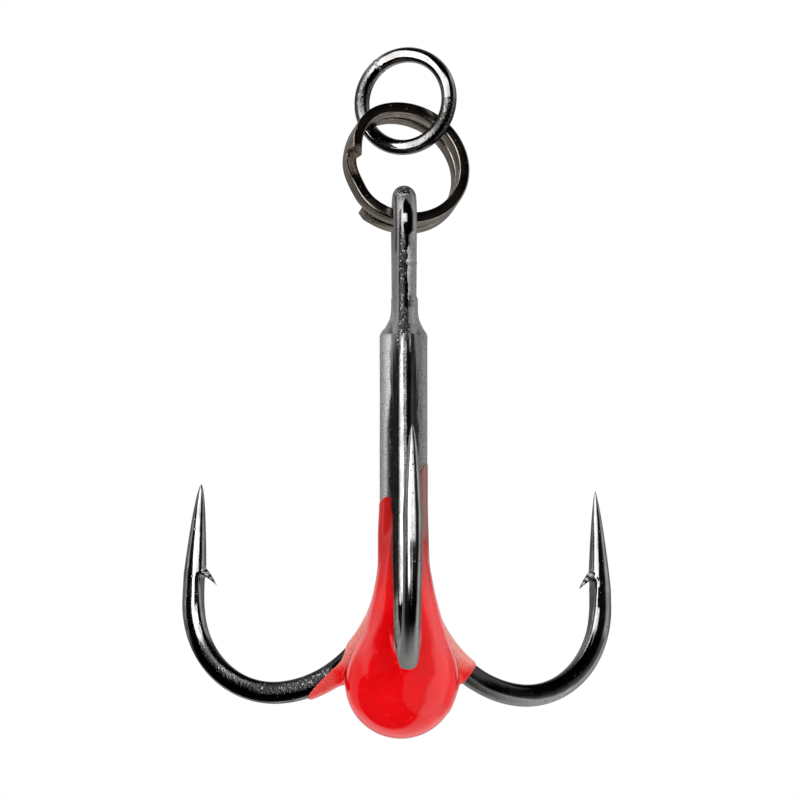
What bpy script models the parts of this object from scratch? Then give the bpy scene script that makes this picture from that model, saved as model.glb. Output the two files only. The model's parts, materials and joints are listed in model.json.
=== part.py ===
"""Treble hook on a split ring and a solid ring, at its real size.

Three hook wires stand in a triangular bundle that is brazed along its grooves. The front
wire also makes the eye. A bead of red resin is cast round the foot of the bundle. The eye
hangs from a two-turn split ring, and the split ring hangs from a solid ring.

Frame: metres, +Z up along the shank towards the rings, the front hook in the YZ plane and
pointing to -Y. The origin is the top of the solid ring's hole, where a line holds it.
"""

import math

import bmesh
import bpy
from mathutils import Matrix, Vector

# Working gap between pieces that touch or are brazed together.
GAP = 0.00003

# Shading: edges sharper than this many degrees stay sharp.
SHARP_ANGLE = 35

# Finishes: colour, roughness and metallic value.
BLACK_NICKEL = ((0.020, 0.019, 0.019), 0.22, 1.0)
RING_NICKEL = ((0.035, 0.033, 0.030), 0.25, 1.0)
PLATED_BRAZE = ((0.060, 0.060, 0.058), 0.45, 1.0)
RED_RESIN = ((0.80, 0.010, 0.010), 0.10, 0.0)

# Solid ring: round wire, welded shut.
SOLID_WIRE = 0.0007
SOLID_OUTER = 0.0050
SOLID_AXIS_AZIMUTH = -114.0
SOLID_SEGMENTS = 48
SOLID_SIDES = 12

# Split ring: flattened wire wound in two flat turns, with a joggle between them.
SPLIT_OUTER = 0.00606
SPLIT_RADIAL = 0.00050
SPLIT_AXIAL = 0.00070
SPLIT_CORNER = 0.00007
SPLIT_LAYER_GAP = 0.00004
SPLIT_CENTRE = Vector((-0.00018, -0.00062, -0.00504))
SPLIT_AXIS_AZIMUTH = -74.9
SPLIT_AXIS_ELEVATION = 15.0
SPLIT_START = 176.0
SPLIT_SWEEP = 663.0
JOGGLE_START = 316.0
JOGGLE_END = 364.0
SPLIT_FLAT = 0.00036
SPLIT_FLAT_AT = 176.0
SPLIT_FLAT_WIDTH = 62.0
SPLIT_STEP = 7.0

# Hook wire, and the bundle that the three shanks make.
WIRE = 0.00108
BUNDLE_RADIUS = 0.00064
TREBLE_X = -0.00012
TREBLE_Y = -0.00138
FRONT_AZIMUTH = -90.0
LEFT_AZIMUTH = 151.4
RIGHT_AZIMUTH = 31.4

# Hook curve, in its own plane: radius from the shank axis and height.
BEND_BOTTOM_Z = -0.02910
INNER_BEND_RADIUS = 0.00564
OUTER_BEND_RADIUS = 0.00449
TIP_Z = -0.01905
TIP_LEAN = 0.00034
TIP_LEAN_POWER = 1.15
POINT_LENGTH = 0.00430
POINT_FULLNESS = 0.62
POINT_TIP_FULL = 0.02
POINT_SHARES = (0.14, 0.28, 0.42, 0.56, 0.70, 0.82, 0.91, 0.97, 1.0)
INNER_BEND_STEPS = 12
OUTER_BEND_STEPS = 10
FORGED_FROM = 0.0022
FORGED_RAMP = 0.0022
FORGED_IN_PLANE = 0.00101
FORGED_ACROSS = 0.00087
FORGED_EXPONENT = 2.4
SHOULDER_Z = -0.01241
SHOULDER_LENGTH = 0.00045
SHOULDER_STEPS = (
    # share of the length, fullness, shift towards the bundle's axis
    (0.0, 0.50, 0.00022),
    (0.35, 0.74, 0.00012),
    (0.75, 0.94, 0.00003),
    (1.0, 1.0, 0.0),
)
BARB_ROOT_BELOW_TIP = 0.00419
BARB_RISE = 0.00059
BARB_DROP = 0.00056
BARB_SUNK = 0.00045
BARB_WIDTH = 0.00046
BARB_THICKNESS = 0.00051
BARB_SIDES = 6
BARB_TIP_SHARE = 0.04

# Eye, bent from the top of the front wire.
EYE_Z = -0.00806
EYE_LOOP_RADIUS = 0.00150
EYE_FOOT_Z = -0.01250
EYE_END_Z = -0.01205
EYE_END_RADIUS = -0.00047
EYE_FOOT_FILLET = 0.0036
EYE_FRONT_TURN = -11.0
EYE_REAR_TURN = 195.0
EYE_STEPS = 20

# Braze in the grooves between the shanks, in the core, and round the foot of the eye.
SEAM_TOP_Z = -0.01295
SEAM_FOOT_Z = -0.02305
SEAM_OUTER = 0.00070
SEAM_OUTER_HALF_WIDTH = 0.00042
SEAM_INNER_RISE = 0.00010
SEAM_INNER_HALF_WIDTH = 0.00010
CORE_REACH = 0.00030
HULL_CORNER_STEPS = 6
EYE_BRAZE_SIDES = 20
EYE_BRAZE_SECTIONS = (
    # height, half width across, half depth, offset to the front
    (-0.01290, 0.00105, 0.00077, -0.00012),
    (-0.01267, 0.00102, 0.00076, -0.00012),
    (-0.01243, 0.00080, 0.00072, -0.00014),
    (-0.01205, 0.00064, 0.00066, -0.00016),
    (-0.01155, 0.00058, 0.00060, -0.00016),
)

# Resin drop: circles up its axis, and a sleeve that runs out along each bend.
DROP_TOP_Z = -0.02085
DROP_HULL_FOOT_Z = -0.02345
DROP_HULL_MARGIN = 0.001
DROP_SECTIONS = (
    # height, half width, half depth, offset of the centre to the front
    (DROP_TOP_Z, 0.00115, 0.00106, -0.00016),
    (-0.02230, 0.00118, 0.00108, -0.00018),
    (-0.02310, 0.00123, 0.00111, -0.00020),
    (-0.02420, 0.00131, 0.00118, -0.00022),
    (-0.02490, 0.00142, 0.00130, -0.00020),
    (-0.02530, 0.00151, 0.00138, -0.00018),
    (-0.02610, 0.00168, 0.00160, -0.00010),
    (-0.02720, 0.00205, 0.00202, -0.00002),
)
DROP_BALL_RADIUS = 0.00256
DROP_BALL_Z = -0.02916
DROP_BALL_X = -0.00014
DROP_BALL_TOP_ANGLE = 27
DROP_BALL_STEP = 13
DROP_SIDES = 24
SLEEVE_FIRST_STATION = 2
SLEEVE_LAST_STATION = 8
SLEEVE_FIRST_GROW = 0.00016
SLEEVE_LAST_GROW = 0.00007

WIRE_SIDES = 12
PIVOT_DISPLAY_SIZE = 0.002


def clear_scene():
    for old in list(bpy.data.objects):
        bpy.data.objects.remove(old)


def collection(name, hidden=False):
    found = bpy.data.collections.new(name)
    bpy.context.scene.collection.children.link(found)
    found.hide_render = hidden
    return found


def material(name, colour, roughness, metallic):
    made = bpy.data.materials.new(name)
    made.use_nodes = True
    shader = made.node_tree.nodes["Principled BSDF"]
    shader.inputs["Base Color"].default_value = (*colour, 1.0)
    shader.inputs["Roughness"].default_value = roughness
    shader.inputs["Metallic"].default_value = metallic
    return made


def mesh_object(name, mesh, home, finish):
    obj = bpy.data.objects.new(name, mesh)
    home.objects.link(obj)
    mesh.materials.append(finish)
    mesh.shade_smooth()
    mesh.set_sharp_from_angle(angle=math.radians(SHARP_ANGLE))
    return obj


def loft(name, rings):
    """A closed mesh through rings of points, capped at both ends, with its faces pointing out."""
    shape = bmesh.new()
    rows = [[shape.verts.new(point) for point in ring] for ring in rings]
    sides = len(rows[0])
    for lower, upper in zip(rows, rows[1:]):
        for side in range(sides):
            after = (side + 1) % sides
            shape.faces.new((lower[side], lower[after], upper[after], upper[side]))
    shape.faces.new(rows[0])
    shape.faces.new(rows[-1])
    bmesh.ops.recalc_face_normals(shape, faces=shape.faces)
    mesh = bpy.data.meshes.new(name)
    shape.to_mesh(mesh)
    shape.free()
    return mesh


def boolean(obj, cutter, operation):
    cut = obj.modifiers.new(operation.title(), "BOOLEAN")
    cut.operation = operation
    cut.object = cutter


def hide(obj):
    obj.hide_render = True
    obj.display_type = "WIRE"


def direction(azimuth, elevation=0.0):
    around = math.radians(azimuth)
    up = math.radians(elevation)
    return Vector((math.cos(around) * math.cos(up), math.sin(around) * math.cos(up), math.sin(up)))


def arc(centre, radius, start, end, steps):
    """Points of an arc in a hook's plane, from one angle to another in degrees."""
    points = []
    for step in range(steps + 1):
        angle = math.radians(start + (end - start) * step / steps)
        points.append((centre[0] + radius * math.cos(angle), centre[1] + radius * math.sin(angle)))
    return points


# The two tangent arcs of the bend meet at the bottom, at this distance from the shank axis.
BOTTOM_RADIUS = BUNDLE_RADIUS + INNER_BEND_RADIUS
INNER_CENTRE = (BOTTOM_RADIUS, BEND_BOTTOM_Z + INNER_BEND_RADIUS)
OUTER_CENTRE = (BOTTOM_RADIUS, BEND_BOTTOM_Z + OUTER_BEND_RADIUS)
POINT_FOOT = (BOTTOM_RADIUS + OUTER_BEND_RADIUS, OUTER_CENTRE[1])


def bend_and_point():
    """Stations from the shank's foot to the tip: place in the plane, and how forged and how full."""
    stations = []
    for place in arc(INNER_CENTRE, INNER_BEND_RADIUS, 180, 270, INNER_BEND_STEPS):
        forged = min(1.0, max(0.0, (place[0] - FORGED_FROM) / FORGED_RAMP))
        stations.append((place, forged, 1.0))
    for place in arc(OUTER_CENTRE, OUTER_BEND_RADIUS, 270, 360, OUTER_BEND_STEPS)[1:]:
        stations.append((place, 1.0, 1.0))
    height = TIP_Z - POINT_FOOT[1]
    for share in POINT_SHARES:
        left = (1.0 - share) * height
        full = min(1.0, max(POINT_TIP_FULL, left / POINT_LENGTH) ** POINT_FULLNESS)
        place = (POINT_FOOT[0] - TIP_LEAN * share**TIP_LEAN_POWER, POINT_FOOT[1] + share * height)
        stations.append((place, 1.0 - share, full))
    return stations


def eye_and_shank():
    """Stations of the front wire from its end behind the eye, round the eye and down the shank."""
    places = [(EYE_END_RADIUS, EYE_END_Z)]
    places += arc((0.0, EYE_Z), EYE_LOOP_RADIUS, EYE_REAR_TURN, EYE_FRONT_TURN, EYE_STEPS)
    down = Vector((0.0, -1.0))
    foot = Vector((BUNDLE_RADIUS, EYE_FOOT_Z))
    along = (foot - Vector(places[-1])).normalized()
    bend = EYE_FOOT_FILLET * math.tan(0.5 * along.angle(down))
    start = foot - along * bend
    end = foot + down * bend
    for share in (0.0, 0.5, 1.0):
        places.append(tuple(start.lerp(foot, share).lerp(foot.lerp(end, share), share)))
    places.append((BUNDLE_RADIUS, 0.5 * (EYE_FOOT_Z + INNER_CENTRE[1])))
    return [(place, 0.0, 1.0) for place in places]


def shoulder_and_shank():
    """Stations of a side wire from its chamfered end down the shank."""
    stations = []
    for share, full, shift in SHOULDER_STEPS:
        place = (BUNDLE_RADIUS - shift, SHOULDER_Z - share * SHOULDER_LENGTH)
        stations.append((place, 0.0, full))
    stations.append(((BUNDLE_RADIUS, 0.5 * (SHOULDER_Z + INNER_CENTRE[1])), 0.0, 1.0))
    return stations


def to_world(azimuth, place, across=0.0):
    out = direction(azimuth)
    side = Vector((-out.y, out.x, 0.0))
    return Vector((TREBLE_X, TREBLE_Y, place[1])) + out * place[0] + side * across


def section_rings(azimuth, stations, grow):
    """World rings of a wire's sections. Each is a round that a forged stretch squares off."""
    rings = []
    for index, (place, forged, full) in enumerate(stations):
        before = Vector(stations[max(index - 1, 0)][0])
        after = Vector(stations[min(index + 1, len(stations) - 1)][0])
        along = (after - before).normalized()
        normal = Vector((along.y, -along.x))
        half_in = 0.5 * (WIRE + forged * (FORGED_IN_PLANE - WIRE)) * full + grow
        half_across = 0.5 * (WIRE + forged * (FORGED_ACROSS - WIRE)) * full + grow
        power = 2.0 / (2.0 + forged * (FORGED_EXPONENT - 2.0))
        ring = []
        for side in range(WIRE_SIDES):
            angle = 2 * math.pi * (side + 0.5) / WIRE_SIDES
            c, s = math.cos(angle), math.sin(angle)
            reach = math.copysign(abs(c) ** power, c) * half_in
            across = math.copysign(abs(s) ** power, s) * half_across
            ring.append(to_world(azimuth, Vector(place) + normal * reach, across))
        rings.append(ring)
    return rings


def barb_stock(name, azimuth, cutters, finish):
    """A sliver raised from the inner side of the point, its tip towards the bend."""
    root = Vector((POINT_FOOT[0] - 0.5 * FORGED_IN_PLANE, TIP_Z - BARB_ROOT_BELOW_TIP))
    tip = root + Vector((-BARB_RISE, -BARB_DROP))
    base = root - (tip - root).normalized() * BARB_SUNK
    shape = bmesh.new()
    bmesh.ops.create_cone(
        shape,
        cap_ends=True,
        segments=BARB_SIDES,
        radius1=0.5,
        radius2=0.5 * BARB_TIP_SHARE,
        depth=1.0,
    )
    mesh = bpy.data.meshes.new(name)
    shape.to_mesh(mesh)
    shape.free()
    start = to_world(azimuth, base)
    along = to_world(azimuth, tip) - start
    side = Vector((-direction(azimuth).y, direction(azimuth).x, 0.0))
    thick = along.cross(side).normalized()
    frame = Matrix((side * BARB_WIDTH, thick * BARB_THICKNESS, along)).transposed()
    mesh.transform(Matrix.Translation(start + along * 0.5) @ frame.to_4x4())
    barb = mesh_object(name, mesh, cutters, finish)
    hide(barb)
    return barb


def hook(name, azimuth, top, home, cutters, finish):
    stations = top + bend_and_point()
    wire = mesh_object(name, loft(name, section_rings(azimuth, stations, 0.0)), home, finish)
    boolean(wire, barb_stock(name + "_barb_stock", azimuth, cutters, finish), "UNION")
    grown = loft(name + "_room", section_rings(azimuth, stations, GAP))
    room = mesh_object(name + "_room", grown, cutters, finish)
    hide(room)
    return wire, room


def prism(name, outline, low, high):
    """A straight prism over an outline around the shank axis."""
    shape = bmesh.new()
    foot = [shape.verts.new((TREBLE_X + x, TREBLE_Y + y, low)) for x, y in outline]
    made = bmesh.ops.extrude_face_region(shape, geom=[shape.faces.new(foot)])
    raised = [item for item in made["geom"] if isinstance(item, bmesh.types.BMVert)]
    bmesh.ops.translate(shape, vec=(0.0, 0.0, high - low), verts=raised)
    bmesh.ops.recalc_face_normals(shape, faces=shape.faces)
    mesh = bpy.data.meshes.new(name)
    shape.to_mesh(mesh)
    shape.free()
    return mesh


def solid_ring(home, finish):
    centre = Vector((0.0, 0.0, SOLID_WIRE - 0.5 * SOLID_OUTER))
    bpy.ops.mesh.primitive_torus_add(
        major_segments=SOLID_SEGMENTS,
        minor_segments=SOLID_SIDES,
        major_radius=0.5 * (SOLID_OUTER - SOLID_WIRE),
        minor_radius=0.5 * SOLID_WIRE,
    )
    obj = bpy.context.object
    obj.name = "solid_ring"
    turn = direction(SOLID_AXIS_AZIMUTH).to_track_quat("Z", "Y").to_matrix().to_4x4()
    obj.data.transform(Matrix.Translation(centre) @ turn)
    obj.data.materials.append(finish)
    obj.data.shade_smooth()
    for other in list(obj.users_collection):
        other.objects.unlink(obj)
    home.objects.link(obj)
    return obj


def split_ring(home, finish):
    """Two flat turns of one wire. The joggle carries the wire from the front turn to the rear one."""
    axis = direction(SPLIT_AXIS_AZIMUTH, SPLIT_AXIS_ELEVATION)
    right = (Vector((1, 0, 0)) - axis * axis.x).normalized()
    up = axis.cross(right)
    middle = 0.5 * (SPLIT_OUTER - SPLIT_RADIAL)
    lift = 0.5 * (SPLIT_AXIAL + SPLIT_LAYER_GAP)
    half_out = 0.5 * SPLIT_RADIAL
    half_along = 0.5 * SPLIT_AXIAL
    outline = (
        (-half_out, half_along - SPLIT_CORNER),
        (-half_out + SPLIT_CORNER, half_along),
        (half_out - SPLIT_CORNER, half_along),
        (half_out, half_along - SPLIT_CORNER),
        (half_out, -half_along + SPLIT_CORNER),
        (half_out - SPLIT_CORNER, -half_along),
        (-half_out + SPLIT_CORNER, -half_along),
        (-half_out, -half_along + SPLIT_CORNER),
    )
    rings = []
    count = round(SPLIT_SWEEP / SPLIT_STEP)
    for step in range(count + 1):
        turned = SPLIT_SWEEP * step / count
        angle = math.radians(SPLIT_START - turned)
        passed = min(1.0, max(0.0, (turned - JOGGLE_START) / (JOGGLE_END - JOGGLE_START)))
        eased = passed * passed * (3 - 2 * passed)
        out = right * math.cos(angle) + up * math.sin(angle)
        off = (SPLIT_START - turned - SPLIT_FLAT_AT + 180.0) % 360.0 - 180.0
        press = math.cos(math.radians(90.0 * min(1.0, abs(off) / SPLIT_FLAT_WIDTH))) ** 2
        centre = SPLIT_CENTRE + out * (middle - SPLIT_FLAT * press) + axis * lift * (1 - 2 * eased)
        rings.append([centre + out * reach + axis * rise for reach, rise in outline])
    return mesh_object("split_ring", loft("split_ring", rings), home, finish)


def shank_hull(cutters, finish):
    """The rounded triangle round the three shanks, which keeps the resin out of their grooves."""
    outline = []
    for azimuth in (FRONT_AZIMUTH, RIGHT_AZIMUTH, LEFT_AZIMUTH):
        centre = direction(azimuth) * BUNDLE_RADIUS
        for step in range(HULL_CORNER_STEPS + 1):
            out = direction(azimuth - 60 + 120 * step / HULL_CORNER_STEPS)
            corner = centre + out * (0.5 * WIRE + GAP)
            outline.append((corner.x, corner.y))
    shape = prism("shank_hull", outline, DROP_HULL_FOOT_Z, DROP_TOP_Z + DROP_HULL_MARGIN)
    hull = mesh_object("shank_hull", shape, cutters, finish)
    hide(hull)
    return hull


def braze_seam(name, first, second, home, rooms, finish):
    """The fillet in the groove between two shanks: a wedge, less the room of both wires."""
    one = direction(first) * BUNDLE_RADIUS
    two = direction(second) * BUNDLE_RADIUS
    out = (one + two).normalized()
    along = (two - one).normalized()
    inner = 0.5 * (one + two) + out * SEAM_INNER_RISE
    outer = out * SEAM_OUTER
    outline = [inner - along * SEAM_INNER_HALF_WIDTH, inner + along * SEAM_INNER_HALF_WIDTH]
    outline += [outer + along * SEAM_OUTER_HALF_WIDTH, outer - along * SEAM_OUTER_HALF_WIDTH]
    shape = prism(name, [(p.x, p.y) for p in outline], SEAM_FOOT_Z, SEAM_TOP_Z)
    seam = mesh_object(name, shape, home, finish)
    for room in rooms:
        boolean(seam, room, "DIFFERENCE")
    return seam


def braze_core(home, rooms, finish):
    outline = []
    for azimuth in (FRONT_AZIMUTH, RIGHT_AZIMUTH, LEFT_AZIMUTH):
        corner = direction(azimuth + 60) * CORE_REACH
        outline.append((corner.x, corner.y))
    core = mesh_object(
        "braze_core", prism("braze_core", outline, SEAM_FOOT_Z, SEAM_TOP_Z), home, finish
    )
    for room in rooms:
        boolean(core, room, "DIFFERENCE")
    return core


def ellipse(z, half_x, half_y, front, sides):
    ring = []
    for side in range(sides):
        angle = 2 * math.pi * side / sides
        x = TREBLE_X + half_x * math.cos(angle)
        y = TREBLE_Y - front + half_y * math.sin(angle)
        ring.append(Vector((x, y, z)))
    return ring


def eye_braze(home, rooms, finish):
    rings = [ellipse(*section, EYE_BRAZE_SIDES) for section in EYE_BRAZE_SECTIONS]
    collar = mesh_object("eye_braze", loft("eye_braze", rings), home, finish)
    for room in rooms:
        boolean(collar, room, "DIFFERENCE")
    return collar


def sleeve(azimuth, cutters, finish):
    """The skin of resin that runs out along one bend, in rings half way between the bend's own."""
    stations = bend_and_point()
    rings = []
    for index in range(SLEEVE_FIRST_STATION, SLEEVE_LAST_STATION + 1):
        share = (index - SLEEVE_FIRST_STATION) / (SLEEVE_LAST_STATION - SLEEVE_FIRST_STATION)
        grow = SLEEVE_FIRST_GROW + share * (SLEEVE_LAST_GROW - SLEEVE_FIRST_GROW)
        before, after = stations[index], stations[index + 1]
        middle = (tuple((Vector(before[0]) + Vector(after[0])) / 2), before[1], 1.0)
        rings.append(section_rings(azimuth, (before, middle, after), grow)[1])
    name = f"sleeve_{round(azimuth)}"
    made = mesh_object(name, loft(name, rings), cutters, finish)
    hide(made)
    return made


def resin_drop(home, cutters, rooms, finish):
    rings = [ellipse(*section, DROP_SIDES) for section in DROP_SECTIONS]
    for angle in range(DROP_BALL_TOP_ANGLE, -90, -DROP_BALL_STEP):
        z = DROP_BALL_Z + DROP_BALL_RADIUS * math.sin(math.radians(angle))
        radius = DROP_BALL_RADIUS * math.cos(math.radians(angle))
        ring = ellipse(z, radius, radius, 0.0, DROP_SIDES)
        rings.append([point + Vector((DROP_BALL_X, 0.0, 0.0)) for point in ring])
    drop = mesh_object("resin_drop", loft("resin_drop", rings), home, finish)
    for azimuth in (FRONT_AZIMUTH, RIGHT_AZIMUTH, LEFT_AZIMUTH):
        boolean(drop, sleeve(azimuth, cutters, finish), "UNION")
    for room in rooms:
        boolean(drop, room, "DIFFERENCE")
    return drop


def pivot(name, place, pieces):
    """An empty on a joint's axis, which carries the pieces that move with it."""
    empty = bpy.data.objects.new(name, None)
    bpy.context.scene.collection.objects.link(empty)
    empty.empty_display_size = PIVOT_DISPLAY_SIZE
    empty.location = place
    for piece in pieces:
        piece.parent = empty
        piece.matrix_parent_inverse = Matrix.Translation(-Vector(place))


def main():
    clear_scene()
    home = collection("treble_hook")
    cutters = collection("cutters", hidden=True)
    nickel = material("black_nickel", *BLACK_NICKEL)
    ring_nickel = material("ring_nickel", *RING_NICKEL)
    braze = material("plated_braze", *PLATED_BRAZE)
    resin = material("red_resin", *RED_RESIN)

    solid_ring(home, nickel)
    spring = split_ring(home, ring_nickel)
    eyed, eyed_room = hook("eyed_hook", FRONT_AZIMUTH, eye_and_shank(), home, cutters, nickel)
    left, left_room = hook("left_hook", LEFT_AZIMUTH, shoulder_and_shank(), home, cutters, nickel)
    right, right_room = hook("right_hook", RIGHT_AZIMUTH, shoulder_and_shank(), home, cutters, nickel)
    rooms = (eyed_room, left_room, right_room)

    treble = [eyed, left, right]
    for name, first, second in (
        ("braze_front_left", FRONT_AZIMUTH, LEFT_AZIMUTH),
        ("braze_front_right", FRONT_AZIMUTH, RIGHT_AZIMUTH),
        ("braze_rear", LEFT_AZIMUTH, RIGHT_AZIMUTH),
    ):
        treble.append(braze_seam(name, first, second, home, rooms, braze))
    treble.append(braze_core(home, rooms, braze))
    treble.append(eye_braze(home, rooms, braze))
    treble.append(resin_drop(home, cutters, (*rooms, shank_hull(cutters, resin)), resin))

    pivot("hook_swing_axis", (TREBLE_X, TREBLE_Y, EYE_Z), treble)
    pivot("ring_swivel_axis", (0.0, 0.0, SPLIT_CENTRE.z), [spring])


main()
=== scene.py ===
import json
import math

import bpy
import numpy as np
from mathutils import Matrix, Vector

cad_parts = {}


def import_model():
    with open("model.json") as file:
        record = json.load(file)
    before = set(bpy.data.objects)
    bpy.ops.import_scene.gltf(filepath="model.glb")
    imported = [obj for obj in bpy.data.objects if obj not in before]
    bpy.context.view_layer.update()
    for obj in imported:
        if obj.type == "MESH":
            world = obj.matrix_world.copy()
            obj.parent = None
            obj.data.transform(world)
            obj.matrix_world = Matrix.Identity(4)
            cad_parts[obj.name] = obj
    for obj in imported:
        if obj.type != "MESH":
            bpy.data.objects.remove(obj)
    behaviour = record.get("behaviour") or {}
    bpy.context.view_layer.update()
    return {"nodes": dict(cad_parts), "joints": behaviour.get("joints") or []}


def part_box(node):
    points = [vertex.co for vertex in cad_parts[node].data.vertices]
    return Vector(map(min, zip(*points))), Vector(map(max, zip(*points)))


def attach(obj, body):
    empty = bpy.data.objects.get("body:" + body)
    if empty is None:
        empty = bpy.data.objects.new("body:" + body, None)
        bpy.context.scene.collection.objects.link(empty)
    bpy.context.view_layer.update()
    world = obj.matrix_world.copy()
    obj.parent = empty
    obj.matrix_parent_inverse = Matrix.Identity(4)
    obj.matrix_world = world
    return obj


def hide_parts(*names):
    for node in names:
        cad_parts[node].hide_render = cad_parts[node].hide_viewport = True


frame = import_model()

MM = 0.001
UP = np.array((0.0, 0.0, 1.0))

# ------------ sizes, read from the CAD frame

JOINTS = {joint["name"]: joint for joint in frame["joints"]}
TREBLE_X, TREBLE_Y, EYE_Z = JOINTS["hook_swing"]["pos_m"]
RING_LOW, RING_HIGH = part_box("solid_ring")
HOOK_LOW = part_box("left_hook")[0]
DROP_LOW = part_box("resin_drop")[0]

# ------------ driving sizes, as in the CAD

WIRE_RADIUS = 0.54 * MM
BUNDLE_RADIUS = 0.64 * MM
FRONT_AZIMUTH = -90.0
LEFT_AZIMUTH = 151.4
RIGHT_AZIMUTH = 31.4
FORGED_IN_PLANE = 0.505 * MM
FORGED_ACROSS = 0.435 * MM
FORGED_EXPONENT = 2.6
FORGED_FROM = 2.2 * MM
FORGED_RAMP = 2.2 * MM
INNER_BEND_RADIUS = 5.64 * MM
OUTER_BEND_RADIUS = 4.49 * MM
BEND_BOTTOM_Z = HOOK_LOW.z + FORGED_IN_PLANE
BOTTOM_RADIUS = BUNDLE_RADIUS + INNER_BEND_RADIUS
INNER_CENTRE = np.array((BOTTOM_RADIUS, BEND_BOTTOM_Z + INNER_BEND_RADIUS))
OUTER_CENTRE = np.array((BOTTOM_RADIUS, BEND_BOTTOM_Z + OUTER_BEND_RADIUS))
POINT_FOOT = OUTER_CENTRE + (OUTER_BEND_RADIUS, 0.0)
SHOULDER_Z = -12.45 * MM
SHOULDER_LENGTH = 0.55 * MM
# Down a shoulder: share of its length, share of the full wire, shift towards the front wire.
SHOULDER_STEPS = np.array((
    (0.00, 0.44, 0.24 * MM),
    (0.25, 0.60, 0.19 * MM),
    (0.50, 0.76, 0.13 * MM),
    (0.75, 0.90, 0.06 * MM),
    (1.00, 1.00, 0.00),
))
EYE_LOOP_RADIUS = 1.50 * MM
EYE_TOP_Z = EYE_Z + EYE_LOOP_RADIUS + WIRE_RADIUS
EYE_FOOT_Z = -12.50 * MM
EYE_END = np.array((-0.47 * MM, -12.05 * MM))
EYE_FOOT_FILLET = 3.6 * MM
EYE_TURNS = (195.0, -11.0)

# Each hook's point: height of the tip, lean of the tip to the inside, length and fullness.
POINTS = {
    "eyed_hook": (-19.05 * MM, 0.34 * MM, 4.3 * MM, 0.62),
    "left_hook": (-19.05 * MM, 0.40 * MM, 4.2 * MM, 0.56),
    "right_hook": (-19.16 * MM, 0.27 * MM, 4.5 * MM, 0.68),
}
AZIMUTHS = {"eyed_hook": FRONT_AZIMUTH, "left_hook": LEFT_AZIMUTH, "right_hook": RIGHT_AZIMUTH}
LEAN_POWER = 1.15
# Share of the full wire that is left at the very tip.
KEEN_TIP = 0.004

# Barb: a sliver cut up from the inner side of the point, with the scoop that it came from.
BARB_ROOT_Z = -23.24 * MM
BARB_REACH = 0.60 * MM
BARB_DROP = 0.58 * MM
BARB_SUNK = 0.46 * MM
BARB_HALF_WIDTH = 0.34 * MM
BARB_HALF_THICKNESS = 0.25 * MM
BARB_CURL = 0.06 * MM
BARB_SIDES = 16
# How far the barb's colour is painted black, as painted shade.
BARB_PAINTED_SHADE = 0.75
SCOOP_DEPTH = 0.13 * MM
SCOOP_LENGTH = 1.9 * MM

# Solid ring.
SOLID_TUBE = 0.35 * MM
SOLID_AXIS_AZIMUTH = -114.0
SOLID_WELD_ANGLE = 127.0

# Split ring: flattened wire wound in two turns, with a joggle between them.
SPLIT_OUTER_RADIUS = 3.03 * MM
SPLIT_HALF_RADIAL = 0.25 * MM
SPLIT_HALF_AXIAL = 0.35 * MM
SPLIT_CORNER = 0.085 * MM
SPLIT_LAYER_GAP = 0.04 * MM
SPLIT_CENTRE = np.array((-0.18, -0.62, -5.04)) * MM
SPLIT_AXIS_AZIMUTH = -74.9
SPLIT_AXIS_ELEVATION = 15.0
SPLIT_START = 173.5
SPLIT_SWEEP = 660.5
JOGGLE = (316.0, 364.0)
SPLIT_FLAT = 0.36 * MM
SPLIT_FLAT_AT = 176.0
SPLIT_FLAT_WIDTH = 62.0

# Resin drop: a ball, and a tear over it that runs up the shanks.
BALL_CENTRE = np.array((TREBLE_X - 0.14 * MM, TREBLE_Y, -29.16 * MM))
BALL_RADIUS = 2.56 * MM
TEAR_X = TREBLE_X + 0.02 * MM
# Down the tear: height, half width, half depth, shift to the rear.
TEAR_PROFILE = np.array((
    (-20.4, 0.55, 0.50, 0.20),
    (-22.3, 0.95, 0.90, 0.18),
    (-23.6, 1.16, 1.04, 0.20),
    (-24.9, 1.40, 1.28, 0.20),
    (-26.1, 1.70, 1.62, 0.10),
    (-27.3, 2.10, 2.06, 0.02),
    (-28.1, 2.33, 2.31, 0.00),
    (-29.2, 2.45, 2.45, 0.00),
    (-30.2, 1.90, 1.90, 0.00),
)) * MM

# ------------ finer than the CAD

WIRE_SIDES = 72
STATION_STEP = 0.08 * MM
WIRE_SHARP_ANGLE = 48.0
WOBBLE = 0.006
WOBBLE_LENGTH = 0.9 * MM

# Worn flat down the front of the eyed wire: its middle, half width, extra low down, and wander.
FACET_ANGLE = 202.0
FACET_HALF_ANGLE = 10.0
FACET_WIDENS_BY = 5.0
FACET_WANDER = 0.9
FACET_TOP_Z = -10.5 * MM
FACET_WIDENS_Z = -13.0 * MM

# Mottled stretches of the solid ring, darkened with painted shade: middle, width, strength.
SOLID_SHADED_MOTTLE = ((172.0, 32.0, 0.85), (332.0, 36.0, 1.0))

# Cut ends of the split ring, in degrees of its turn.
SPLIT_TWIST = 16.0
SPLIT_TWIST_LENGTH = 20.0
SPLIT_TAPER = 0.75
SPLIT_TAPER_LENGTH = 11.0
SPLIT_SHEARS = (3.0, 4.0)
SPLIT_END_LENGTHS = (7.0, 9.0)
SPLIT_SHARP_ANGLE = 40.0

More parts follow.
